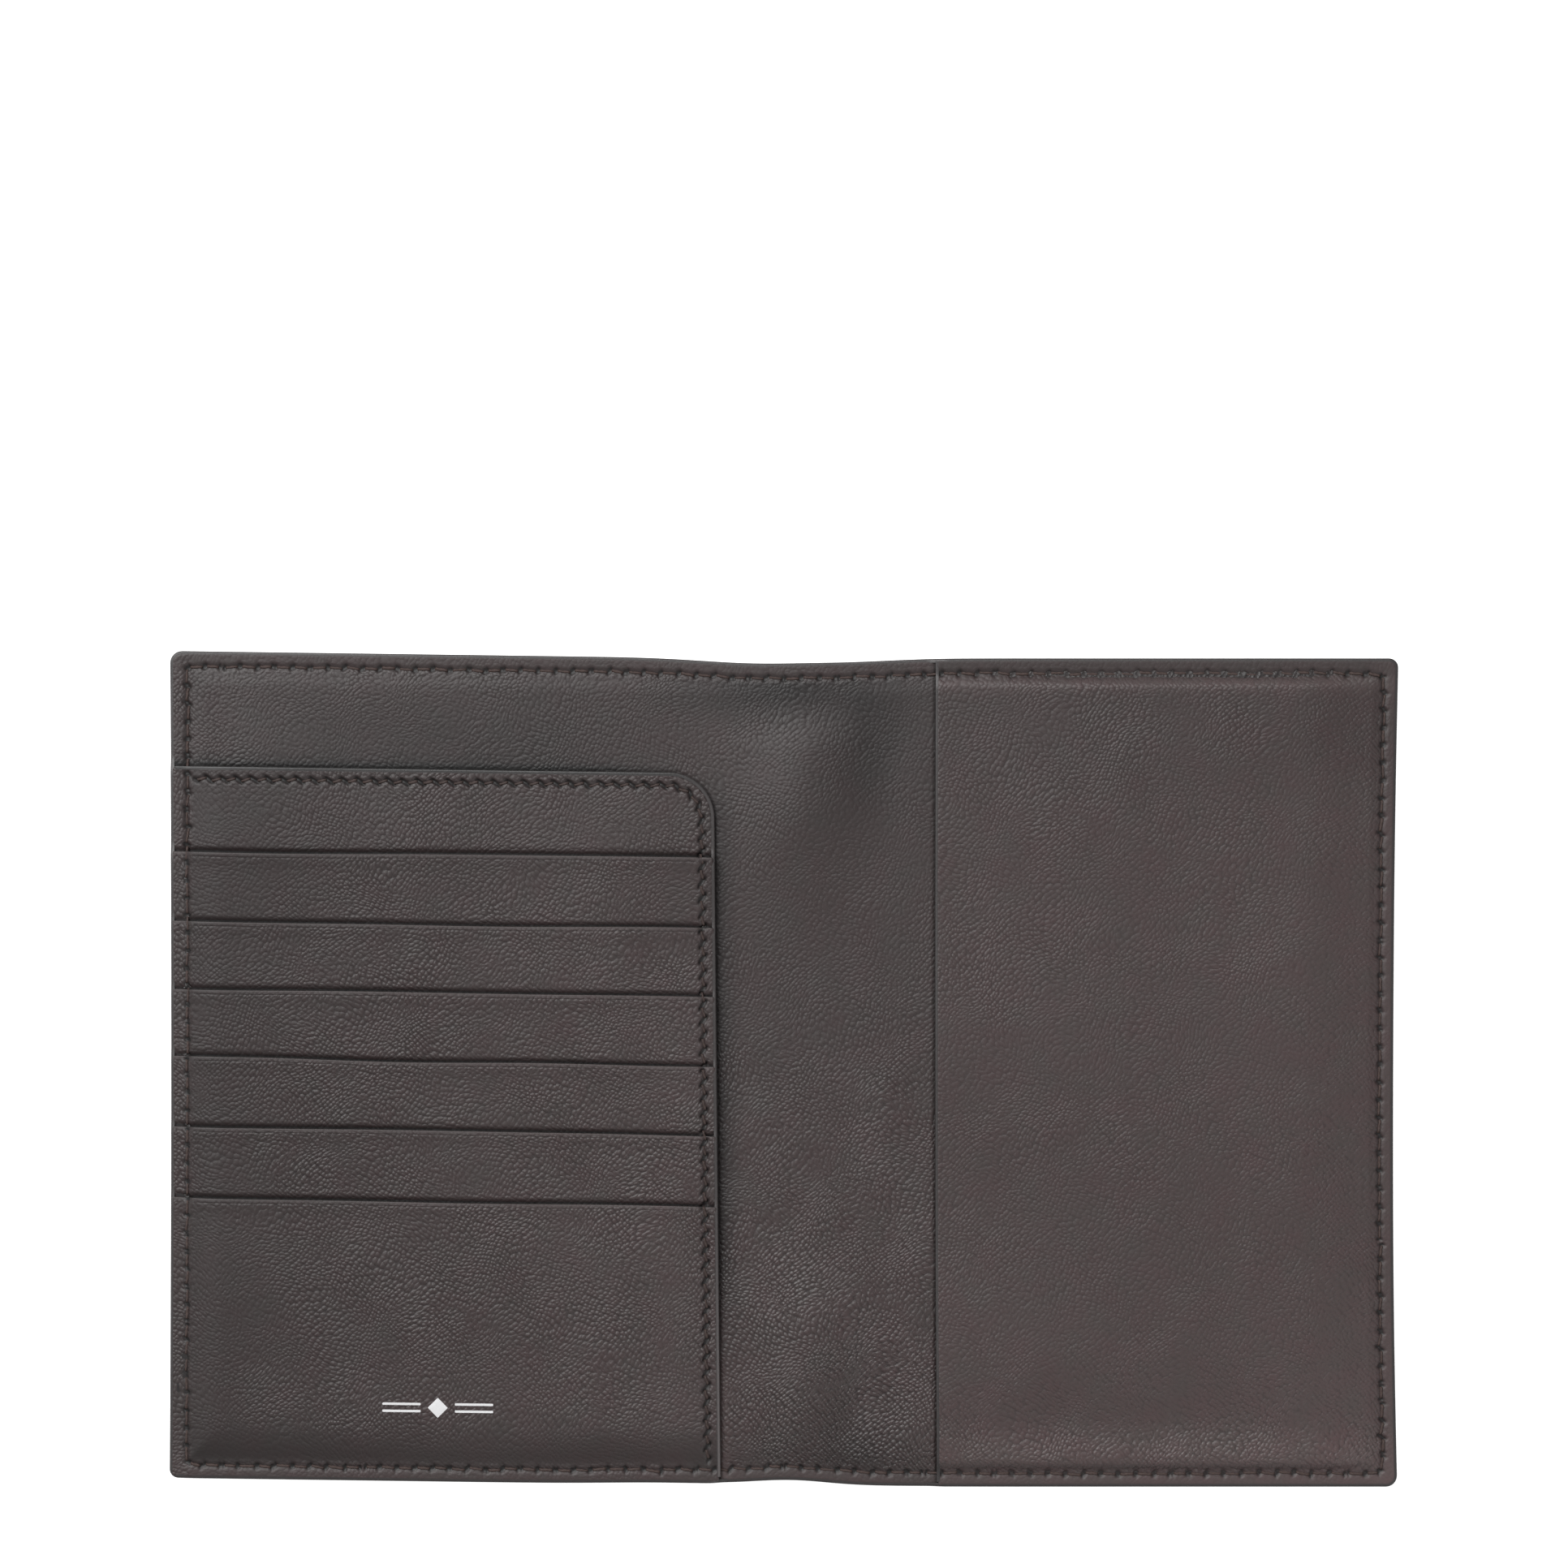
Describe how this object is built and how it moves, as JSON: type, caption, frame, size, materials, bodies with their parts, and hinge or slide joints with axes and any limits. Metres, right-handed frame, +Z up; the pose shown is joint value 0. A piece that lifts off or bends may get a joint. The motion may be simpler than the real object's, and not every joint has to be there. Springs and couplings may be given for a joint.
{
  "type": "passport holder wallet",
  "caption": "Open bifold leather passport holder: stepped card slots and a document pocket on one cover, a passport sleeve on the other, folding shut on a flexible spine.",
  "frame": {"origin": "middle of the open wallet's underside: on the spine's centre line, halfway up the wallet, on the surface it lies on", "axes": "+X towards the passport sleeve's side, +Y towards the wallet's top edge, +Z up from the surface, out of the inside"},
  "size_m": [0.209, 0.14, 0.0048],
  "materials": {
    "shell_leather": "pebbled grain, matt, outside of the cover",
    "lining_leather": "pebbled lambskin grain, low sheen",
    "pocket_leather": "pebbled lambskin grain, low sheen",
    "sleeve_leather": "pebbled lambskin grain, low sheen",
    "stiffener": "matt grey board",
    "tail_fabric": "thin plain woven nylon",
    "edge_paint": "smooth satin edge paint",
    "thread": "waxed polyester thread",
    "foil": "hot pressed silver foil"
  },
  "bodies": {
    "card_cover": {"outer_shell_left": "shell_leather", "lining_left": "lining_leather", "edge_paint_left": "edge_paint", "inner_stitches_left": "thread", "outer_stitches_left": "thread", "cover_board_left": "stiffener", "card_panel_backing": "pocket_leather", "card_pocket_1": "pocket_leather", "pocket_tail_1": "tail_fabric", "card_pocket_2": "pocket_leather", "pocket_tail_2": "tail_fabric", "card_pocket_3": "pocket_leather", "pocket_tail_3": "tail_fabric", "card_pocket_4": "pocket_leather", "pocket_tail_4": "tail_fabric", "card_pocket_5": "pocket_leather", "pocket_tail_5": "tail_fabric", "front_card_pocket": "pocket_leather", "card_panel_edge_paint": "edge_paint", "card_panel_stitches": "thread", "foil_ornament": "foil"},
    "spine": {"outer_shell_spine": "shell_leather", "lining_spine": "lining_leather", "edge_paint_spine": "edge_paint", "inner_stitches_spine": "thread", "outer_stitches_spine": "thread", "spine_reinforcement": "stiffener"},
    "passport_cover": {"outer_shell_right": "shell_leather", "lining_right": "lining_leather", "edge_paint_right": "edge_paint", "inner_stitches_right": "thread", "outer_stitches_right": "thread", "cover_board_right": "stiffener", "passport_sleeve": "sleeve_leather", "sleeve_edge_paint": "edge_paint"}
  },
  "joints": [
    {"name": "card_crease", "type": "hinge", "parent": "card_cover", "child": "spine", "pos_m": [-0.00318, 0, 0.0019], "axis": [0, -1, 0], "range_deg": [0, 90]},
    {"name": "passport_crease", "type": "hinge", "parent": "spine", "child": "passport_cover", "pos_m": [0.00318, 0, 0.0019], "axis": [0, -1, 0], "range_deg": [0, 90]}
  ]
}
